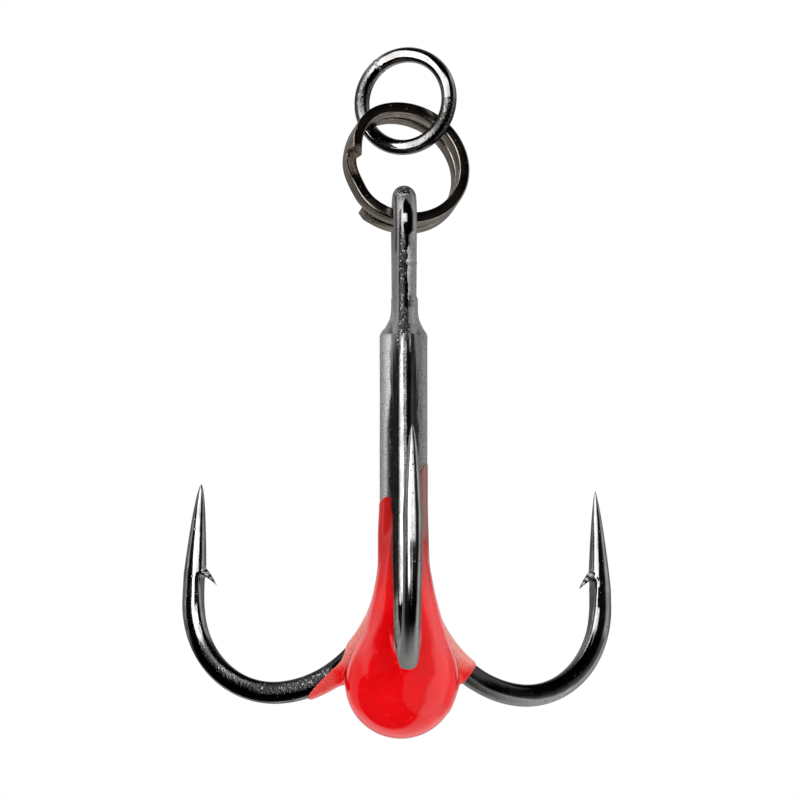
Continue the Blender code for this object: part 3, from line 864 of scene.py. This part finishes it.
def left_skin(points):
    """The resin on the left wire, to a curved edge on its shank and a slanting one on its bend."""
    r, z, _ = hook_frame(points, LEFT_AZIMUTH)
    thickness = (0.03 + 0.06 * below(z, LEFT_SKIN_THICKENS_Z, 1.6 * MM)) * MM
    skin = wire_distance(points, LEFT_AZIMUTH) - WIRE_RADIUS - thickness
    crown = np.clip((points[..., 0] - TREBLE_X) / WIRE_RADIUS + 1.45, -1.0, 1.0)
    skin = clip(skin, z - LEFT_SKIN_TOP_Z + 0.50 * MM * crown**2, 0.08 * MM)
    edge = half_plane(r, z, *LEFT_SKIN_EDGE)
    return clip(skin, blend(edge, r - LEFT_SKIN_REACH, 0.35 * MM), 0.06 * MM)


def right_skin(points):
    """The same on the right wire, where it is thinner and runs higher up the shank."""
    r, z, _ = hook_frame(points, RIGHT_AZIMUTH)
    thickness = (0.025 + 0.06 * below(z, RIGHT_SKIN_THICKENS_Z, 3.0 * MM)) * MM
    skin = wire_distance(points, RIGHT_AZIMUTH) - WIRE_RADIUS - thickness
    crown = np.clip((points[..., 0] - TREBLE_X) / WIRE_RADIUS - 2.0, -1.5, 0.0)
    skin = clip(skin, z - RIGHT_SKIN_TOP_Z + 0.9 * MM * crown**2, 0.05 * MM)
    return clip(skin, half_plane(r, z, *RIGHT_SKIN_EDGE), 0.06 * MM)


def front_skin(points):
    """The resin that wets the back of the front wire, on the outside of its bend."""
    r, z, _ = hook_frame(points, FRONT_AZIMUTH)
    bend_side = INNER_BEND_RADIUS - np.hypot(r - INNER_CENTRE[0], z - INNER_CENTRE[1])
    skin = wire_distance(points, FRONT_AZIMUTH) - WIRE_RADIUS - 0.05 * MM
    skin = clip(skin, r - FRONT_SKIN_REACH, 0.10 * MM)
    skin = clip(skin, bend_side + 0.12 * MM, 0.06 * MM)
    return clip(skin, z - FRONT_SKIN_TOP_Z, 0.10 * MM)


def resin_field(points):
    ball = np.linalg.norm(points - BALL_CENTRE, axis=-1) - BALL_RADIUS
    body = blend(ball, tear(points), 0.5 * MM)
    neck = blend(left_skin(points), right_skin(points), 0.30 * MM)
    merging = (0.10 + 0.90 * below(points[..., 2], SKINS_MERGE_Z, MM)) * MM
    return blend(blend(body, neck, merging), front_skin(points), 0.25 * MM)


def resin_drop():
    """The drop: thin where it is a brown skin over the wires, with painted shade in the same mask
    beside the front wire, and web where painted light from behind shows pink at an edge.
    """
    low = np.array((TREBLE_X - 4.8 * MM, TREBLE_Y - 3.9 * MM, DROP_LOW.z - 0.3 * MM))
    high = np.array((TREBLE_X + 4.0 * MM, TREBLE_Y + 3.3 * MM, RESIN_TOP_Z))
    obj = surface("resin_bead", resin_field, low, high, RESIN_STEP)
    points = mesh_points(obj)
    left_r, _, _ = hook_frame(points, LEFT_AZIMUTH)
    right_r, z, _ = hook_frame(points, RIGHT_AZIMUTH)
    side = np.minimum(wire_distance(points, LEFT_AZIMUTH), wire_distance(points, RIGHT_AZIMUTH))
    front = wire_distance(points, FRONT_AZIMUTH)

    right_end = above(right_r, SKIN_ENDS_RADIUS, 0.5 * MM) * below(z, SKINS_MERGE_Z, 0.5 * MM)
    left_end = above(left_r, SKIN_ENDS_RADIUS, 0.6 * MM)
    skin = below(side, WIRE_RADIUS + 0.17 * MM, 0.10 * MM)
    # Painted light from behind, showing pink through the thin resin at the edges.
    web = skin * below(z, WEB_TOP_Z, 1.8 * MM) * above(z, WEB_BOTTOM_Z, 0.8 * MM)
    web = np.maximum(web * (1.0 - right_end), 0.3 * left_end)

    on_right = above(points[:, 0], TREBLE_X, 0.3 * MM) * above(z, THIN_ON_RIGHT_FROM_Z, 5.0 * MM)
    thin = np.maximum(on_right, 0.5 * above(z, THIN_FROM_Z, 3.5 * MM))
    # Painted shade beside the front wire, carried in the same mask as the thin skin.
    beside = below(front, WIRE_RADIUS + 0.30 * MM, 0.30 * MM)
    beside = beside * above(z, SHADE_BESIDE_FRONT_FROM_Z, 3.0 * MM)
    thin = np.maximum(np.maximum(thin, 0.9 * beside), 0.6 * right_end)
    add_floats(obj, thin=thin, web=web)
    return obj


def collar_field(points):
    """Braze round the foot of the eye, with the lump of it that ran up the wire's right side."""
    z = points[..., 2]
    over = (0.010 - 0.035 * below(z, COLLAR_SINKS_Z, 0.35 * MM)) * MM
    whole = wire_distance(points, FRONT_AZIMUTH) - WIRE_RADIUS - over
    whole = clip(whole, z - COLLAR_TOP_Z, 0.1 * MM)
    share = np.interp(z / MM, COLLAR_STEPS[:, 0], COLLAR_STEPS[:, 1])
    start = direction(FRONT_AZIMUTH) * BUNDLE_RADIUS
    for azimuth in (LEFT_AZIMUTH, RIGHT_AZIMUTH):
        run = direction(azimuth) * BUNDLE_RADIUS - start
        x = points[..., 0] - TREBLE_X - start[0] - share * run[0]
        y = points[..., 1] - TREBLE_Y - start[1] - share * run[1]
        side = clip(np.hypot(x, y) - WIRE_RADIUS - over, z - COLLAR_SIDE_TOP_Z, 0.1 * MM)
        whole = blend(whole, side, 0.16 * MM)
    x, y = points[..., 0] - TREBLE_X, points[..., 1] - TREBLE_Y - COLLAR_LEG_BACK
    leg = clip(np.hypot(x, y) - COLLAR_LEG_RADIUS, z - COLLAR_LEG_TOP_Z, 0.15 * MM)
    whole = blend(whole, leg, 0.25 * MM)
    whole = clip(whole, COLLAR_BOTTOM_Z - z, 0.02 * MM)
    return blend(whole, lump_field(points), 0.06 * MM)


def lump_field(points):
    """A run of braze up the right of the eye's wire, in two pieces with a crack between."""
    out = direction(LUMP_AZIMUTH) * LUMP_OUT
    z = points[..., 2]
    x = points[..., 0] - TREBLE_X - out[0]
    y = points[..., 1] - TREBLE_Y + BUNDLE_RADIUS + LUMP_LEAN * (z - EYE_FOOT_Z) - out[1]
    crack = LUMP_CRACK_Z - 0.9 * x
    radius = LUMP_RADIUS + LUMP_EXTRA_BELOW * below(z, crack, LUMP_CRACK_WIDTH)
    radius = radius - 0.02 * MM * below(z, LUMP_THINS_Z, MM)
    radius = radius - 0.05 * MM * bell(z, crack + 0.02 * MM, LUMP_CRACK_WIDTH)
    radius = radius + 0.012 * MM * np.sin(z / (0.17 * MM))
    radius = radius + 0.05 * MM * bell(z, LUMP_KNOB_Z, 0.12 * MM)
    lump = clip(np.hypot(x, y) - radius, z - LUMP_TOP_Z + 0.8 * x, 0.25 * MM)
    return clip(lump, LUMP_BOTTOM_Z - z, 0.1 * MM)


def eye_collar():
    low = np.array((TREBLE_X - 1.4 * MM, TREBLE_Y - 2.3 * MM, COLLAR_BOTTOM_Z - 0.2 * MM))
    high = np.array((TREBLE_X + 1.4 * MM, TREBLE_Y + 1.2 * MM, LUMP_TOP_Z + 0.3 * MM))
    obj = surface("eye_braze_fillet", collar_field, low, high, COLLAR_STEP)
    points = mesh_points(obj)
    # Painted shade down the middle of the front, and a matt painted pale sheen either side of it.
    core = smooth(1.7 - np.abs(points[:, 0] - TREBLE_X + 0.03 * MM) / (0.24 * MM))
    core = core * below(points[:, 2], COLLAR_TOP_Z, 0.3 * MM)
    add_floats(obj, mottle=0.10 + 0.90 * core, matte=0.9 * (1.0 - core), dark=core)
    return obj


def seam(name, first, second):
    """A concave fillet of braze in the groove between two shanks, its ridge uneven."""
    one, two = direction(first)[:2] * BUNDLE_RADIUS, direction(second)[:2] * BUNDLE_RADIUS
    out, lateral = unit(one + two), unit(two - one)
    middle = np.linalg.norm(0.5 * (one + two))
    s = np.linspace(-1.0, 1.0, 13)
    z = np.linspace(SEAM_BOTTOM_Z, SEAM_TOP_Z, 160)[:, None]
    ripple = 0.016 * np.sin(z / (0.42 * MM) + first) + 0.012 * np.sin(z / (0.19 * MM) + second)
    square = s[None, :] ** 2
    rise = middle + (SEAM_RISE + ripple * (1.0 - square) + SEAM_HOLLOW * square) * MM
    sideways = SEAM_HALF_WIDTH * s[None, :] * np.ones_like(z)
    rise = np.concatenate([rise, np.full((len(z), 1), middle)], 1)
    sideways = np.concatenate([sideways, np.zeros((len(z), 1))], 1)
    flat = rise[..., None] * out + sideways[..., None] * lateral + (TREBLE_X, TREBLE_Y)
    rings = np.concatenate([flat, np.repeat(z[:, :, None], flat.shape[1], 1)], -1)
    # Matt with a painted pale sheen higher up, and darker towards the bottom.
    low_down = below(rings[..., 2], SEAM_DARKENS_Z, 3.2 * MM)
    looks = {"mottle": np.full_like(low_down, 0.3), "matte": 0.8 - 0.5 * low_down, "dark": low_down}
    return tube(name + "_fillet", rings, **looks)


# ------------ materials

class Nodes:
    """Adds nodes to a tree; an input is a value or another node's output."""

    def __init__(self, tree):
        self.tree = tree

    def add(self, kind, inputs=(), **settings):
        node = self.tree.nodes.new("ShaderNode" + kind)
        for key, value in settings.items():
            setattr(node, key, value)
        for key, value in dict(inputs).items():
            if isinstance(value, bpy.types.NodeSocket):
                self.tree.links.new(value, node.inputs[key])
            else:
                node.inputs[key].default_value = value
        return node.outputs

    def math(self, operation, *values):
        return self.add("Math", enumerate(values), operation=operation)[0]

    def noise(self, vector, scale, detail=3.0, roughness=0.55):
        inputs = {"Vector": vector, "Scale": scale, "Detail": detail, "Roughness": roughness}
        return self.add("TexNoise", inputs)["Fac"]

    def span(self, value, low, high, to_low=0.0, to_high=1.0):
        inputs = {0: value, 1: low, 2: high, 3: to_low, 4: to_high}
        return self.add("MapRange", inputs, interpolation_type="SMOOTHSTEP")[0]

    def spots(self, place, scale, inner, outer):
        """1 in the middle of scattered round spots, 0 between them."""
        cells = self.add("TexVoronoi", {"Vector": place, "Scale": scale}, feature="F1")["Distance"]
        return self.span(cells, inner, outer, 1.0, 0.0)

    def lines(self, along_scale, around_scale, detail):
        """Noise drawn out along a wire."""
        along = self.math("MULTIPLY", self.attribute("run"), along_scale)
        around = self.math("MULTIPLY", self.attribute("around"), around_scale)
        return self.noise(self.add("CombineXYZ", {0: along, 1: around})[0], 1.0, detail)

    def bump(self, height, distance):
        return self.add("Bump", {"Strength": 1.0, "Distance": distance, "Height": height})[0]

    def mix(self, share, a, b):
        return self.add("Mix", {0: share, 6: a, 7: b}, data_type="RGBA")[2]

    def attribute(self, name):
        return self.add("Attribute", attribute_name=name)["Fac"]


def new_material(name, **constants):
    material = bpy.data.materials.new(name)
    material.use_nodes = True
    tree = material.node_tree
    shader = tree.nodes["Principled BSDF"]
    for key, value in constants.items():
        shader.inputs[key.replace("_", " ")].default_value = value
    return material, Nodes(tree), shader


def opaque(colour, times=1.0):
    """A colour, brighter or darker by a factor, as a shader socket takes it."""
    return (*(min(1.0, c * times) for c in colour), 1.0)


def metal(name, colour, grain, roughness, streaks):
    """Plated steel: mottled, matt with a painted pale sheen, and black with painted shade where the
    mesh says so, with a painted highlight on its sharp edges.

    Scales are per metre. Grain is the depth of the drawn lines, streaks how black their grime is."""
    material, n, shader = new_material(name, Metallic=1.0, Specular_Tint=(0.5, 0.5, 0.5, 1.0))
    link = material.node_tree.links.new
    place = n.add("TexCoord")["Object"]
    mottle = n.attribute("mottle")
    matte = n.attribute("matte")
    broad = n.noise(place, 900.0, 3.0)
    fine = n.noise(place, 9000.0, 4.0)
    specks = n.noise(place, 9000.0, 2.0, 0.6)
    sand = n.noise(place, 14000.0, 2.0, 0.6)
    pit = n.spots(place, 3200.0, 0.05, 0.16)
    drawn = n.lines(600.0, 11000.0, 2.0)
    streak = n.lines(260.0, 7000.0, 3.0)

    plain = opaque(colour)
    dark = opaque(colour, 0.62)
    black = opaque(colour, 0.05)
    light = opaque(colour, 1.5)
    painted_sheen = opaque(colour, 2.3)
    tone = n.mix(n.span(broad, 0.35, 0.65), dark, plain)
    cluster = n.span(n.noise(place, 2600.0, 2.0), 0.42, 0.58)
    # Painted glints: lighter specks in clusters over the mottled places.
    spark = n.math("MULTIPLY", n.math("MULTIPLY", mottle, cluster), n.span(specks, 0.55, 0.61))
    # Painted highlight: lighter on sharp edges.
    edge = n.add("NewGeometry")["Pointiness"]
    tone = n.mix(n.math("MULTIPLY", n.span(edge, 0.53, 0.62), 0.6), tone, light)
    tone = n.mix(n.span(streak, 0.40, 0.62, 0.0, streaks), tone, black)
    # Painted pale sheen where the mesh marks it matt; the roughness below makes it matt as well.
    tone = n.mix(n.math("MULTIPLY", matte, 0.8), tone, painted_sheen)
    tone = n.mix(n.math("MULTIPLY", matte, n.span(sand, 0.35, 0.60, 0.6, 0.0)), tone, dark)
    tone = n.mix(n.math("MULTIPLY", pit, 0.7), tone, black)
    # Painted shade: black where the mesh says so.
    tone = n.mix(n.math("MULTIPLY", n.attribute("dark"), 0.93), tone, black)
    tone = n.mix(spark, tone, light)
    link(tone, shader.inputs["Base Color"])

    rough = n.math("ADD", roughness, n.math("MULTIPLY", n.span(broad, 0.3, 0.7), 0.05))
    rough = n.math("ADD", rough, n.math("MULTIPLY", mottle, 0.06))
    rough = n.math("ADD", rough, n.math("MULTIPLY", matte, 0.60))
    link(rough, shader.inputs["Roughness"])

    grainy = n.math("MULTIPLY", drawn, grain)
    lumps = n.math("MULTIPLY", n.math("MULTIPLY", fine, mottle), 22.0)
    height = n.math("ADD", grainy, lumps)
    height = n.math("ADD", height, n.math("MULTIPLY", broad, 1.6))
    height = n.math("SUBTRACT", height, n.math("MULTIPLY", pit, 2.0))
    link(n.bump(height, 0.004 * MM), shader.inputs["Normal"])
    return material


def red_resin():
    """Glossy red resin with small bubbles: brown where it is thin and as painted shade beside the
    front wire, pink where painted light from behind shows through a web.
    """
    material, n, shader = new_material("red_resin", Roughness=0.10, IOR=1.48)
    link = material.node_tree.links.new
    place = n.add("TexCoord")["Object"]
    thin = n.attribute("thin")
    cloud = n.noise(place, 420.0, 3.0)
    fine = n.noise(place, 3800.0, 3.0)
    bubble = n.spots(place, 1500.0, 0.05, 0.13)
    deep_red = (0.80, 0.0015, 0.004, 1.0)
    bright_red = (0.92, 0.003, 0.006, 1.0)
    bubble_red = (0.95, 0.08, 0.06, 1.0)
    brown = (0.19, 0.018, 0.010, 1.0)
    pale_brown = (0.23, 0.09, 0.07, 1.0)
    backlit_pink = (0.86, 0.34, 0.28, 1.0)
    tone = n.mix(n.span(cloud, 0.3, 0.7), deep_red, bright_red)
    tone = n.mix(n.math("MULTIPLY", bubble, 0.30), tone, bubble_red)
    # Brown where the skin is thin, and as painted shade beside the front wire.
    tone = n.mix(n.math("MULTIPLY", thin, 0.90), tone, brown)
    tone = n.mix(n.span(thin, 0.80, 1.0), tone, pale_brown)
    dots = n.span(n.noise(place, 9000.0, 2.0), 0.50, 0.60, 1.0, 0.55)
    # Painted light from behind: pink through the webs.
    tone = n.mix(n.math("MULTIPLY", n.attribute("web"), dots), tone, backlit_pink)
    link(tone, shader.inputs["Base Color"])
    rough = n.math("ADD", 0.07, n.math("MULTIPLY", n.span(fine, 0.4, 0.7), 0.08))
    link(n.math("ADD", rough, n.math("MULTIPLY", thin, 0.12)), shader.inputs["Roughness"])
    height = n.math("ADD", n.math("MULTIPLY", cloud, 3.0), n.math("MULTIPLY", fine, 0.5))
    link(n.bump(n.math("ADD", height, bubble), 0.006 * MM), shader.inputs["Normal"])
    return material


# ------------ the object

METAL_PIECES = [frame["nodes"]["braze_core"]]


def finish_piece(piece, body, slot, material, *nodes):
    if slot != "red_resin":
        METAL_PIECES.append(piece)
    piece.data.materials.clear()
    piece.data.materials.append(material)
    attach(piece, body)
    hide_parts(*nodes)


nickel = metal("black_nickel", (0.30, 0.295, 0.29), 1.0, 0.06, 0.10)
ring_nickel = metal("ring_nickel", (0.29, 0.255, 0.22), 1.1, 0.10, 0.75)
braze = metal("plated_braze", (0.30, 0.30, 0.295), 1.0, 0.16, 0.0)
resin = red_resin()

line_ring = solid_ring()
finish_piece(line_ring, "solid_ring", "black_nickel", nickel, "solid_ring")
finish_piece(split_ring(), "split_ring", "ring_nickel", ring_nickel, "split_ring")
for hook_name in AZIMUTHS:
    finish_piece(hook(hook_name), "treble", "black_nickel", nickel, hook_name)
for seam_name, first, second in (
    ("braze_front_left", FRONT_AZIMUTH, LEFT_AZIMUTH - 360.0),
    ("braze_front_right", RIGHT_AZIMUTH, FRONT_AZIMUTH),
    ("braze_rear", LEFT_AZIMUTH, RIGHT_AZIMUTH),
):
    finish_piece(seam(seam_name, first, second), "treble", "plated_braze", braze, seam_name)
finish_piece(eye_collar(), "treble", "plated_braze", braze, "eye_braze")
drop = resin_drop()
drop.visible_glossy = False
finish_piece(drop, "treble", "red_resin", resin, "resin_drop")
frame["nodes"]["braze_core"].data.materials.clear()
frame["nodes"]["braze_core"].data.materials.append(braze)

# ------------ camera, light and floor

def camera():
    forward = CAMERA_LOOKS
    right = forward.cross(Vector(UP)).normalized()
    up = right.cross(forward)
    centre = right * VIEW_RIGHT + up * VIEW_UP
    data = bpy.data.cameras.new("camera")
    data.type = "ORTHO"
    data.ortho_scale = VIEW_WIDTH
    data.clip_start = 0.001
    data.clip_end = 5.0
    obj = bpy.data.objects.new("camera", data)
    bpy.context.scene.collection.objects.link(obj)
    obj.location = centre - forward * CAMERA_DISTANCE
    turn = Matrix((right, up, -forward)).transposed()
    obj.rotation_euler = turn.to_euler()
    bpy.context.scene.camera = obj


def softbox(name, azimuth, elevation, distance, width, height, radiance, glossy=True, roll=0.0):
    """A rectangular lamp that points at the middle of the hook, in metres and degrees."""
    middle = Vector((TREBLE_X, TREBLE_Y, LAMPS_AIM_Z))
    place = middle + Vector(direction(STUDIO_AZIMUTH + azimuth, elevation)) * distance
    data = bpy.data.lights.new(name, "AREA")
    data.shape = "RECTANGLE"
    data.size = width
    data.size_y = height
    data.energy = radiance * math.pi * width * height
    obj = bpy.data.objects.new(name, data)
    bpy.context.scene.collection.objects.link(obj)
    obj.location = place
    obj.rotation_euler = (middle - place).to_track_quat("-Z", "Y").to_euler()
    obj.rotation_euler.rotate_axis("Z", math.radians(roll))
    obj.visible_camera = False
    obj.visible_glossy = glossy
    return obj


def only_on(lamp, pieces):
    """This lamp lights these pieces and nothing else."""
    lit = bpy.data.collections.new(lamp.name + "_lit")
    for piece in pieces:
        lit.objects.link(piece)
    lamp.light_linking.receiver_collection = lit


def world():
    """A pale studio with dark places round the camera and dimmer ones behind and beside it."""
    made = bpy.data.worlds.new("studio")
    bpy.context.scene.world = made
    made.use_nodes = True
    tree = made.node_tree
    tree.nodes.clear()
    n = Nodes(tree)
    toward = n.add("TexCoord")["Generated"]
    light = 1.0
    for azimuth, elevation, half_angle, soft, left in DARK_PLACES:
        middle = Vector(direction(STUDIO_AZIMUTH + azimuth, elevation))
        near = n.add("VectorMath", {0: toward, 1: middle}, operation="DOT_PRODUCT")["Value"]
        outer, inner = (math.cos(math.radians(half_angle + turn)) for turn in (soft, -soft))
        light = n.math("MULTIPLY", light, n.span(near, outer, inner, 1.0, left))
    seen = n.add("LightPath")["Is Camera Ray"]
    strength = n.add("Mix", {0: seen, 2: light, 3: 1.0}, data_type="FLOAT")[0]
    background = n.add("Background", {"Color": (1.0, 1.0, 1.0, 1.0), "Strength": strength})[0]
    output = tree.nodes.new("ShaderNodeOutputWorld")
    tree.links.new(background, output.inputs["Surface"])


def floor():
    place = (0.0, 0.0, FLOOR_Z)
    bpy.ops.mesh.primitive_circle_add(
        vertices=96, radius=FLOOR_RADIUS, fill_type="NGON", location=place
    )
    obj = bpy.context.object
    obj.name = "studio_floor"
    material, _, shader = new_material("pale_floor", Roughness=0.9)
    shader.inputs["Base Color"].default_value = (0.93, 0.93, 0.92, 1.0)
    obj.data.materials.append(material)
    obj.visible_glossy = False


camera()
world()
floor()
# Each lamp: azimuth, elevation, distance, width, height, radiance.
strip = softbox("strip", -37.0, 11.0, 0.6, 0.26, 1.35, 5.2, roll=10.0)
only_on(strip, [piece for piece in METAL_PIECES if piece is not line_ring])
ring_strip = softbox("ring_strip", -50.0, 11.0, 0.6, 0.50, 1.10, 4.6)
only_on(ring_strip, [line_ring])
front_above = softbox("front_above", -7.0, 23.0, 0.6, 0.42, 0.24, 3.6)
only_on(front_above, METAL_PIECES)
panel = softbox("resin_panel", 55.0, 0.0, 0.6, 1.7, 2.6, 0.38)
panel.visible_diffuse = False
only_on(panel, [drop])
softbox("key_left", -50.0, 25.0, 0.7, 0.6, 0.6, 2.7, glossy=False)
softbox("key_right", 45.0, 15.0, 0.7, 0.6, 0.6, 2.3, glossy=False)
softbox("key_rear", 180.0, 45.0, 0.7, 0.8, 0.6, 2.0, glossy=False)
bpy.context.scene.view_settings.view_transform = "Standard"
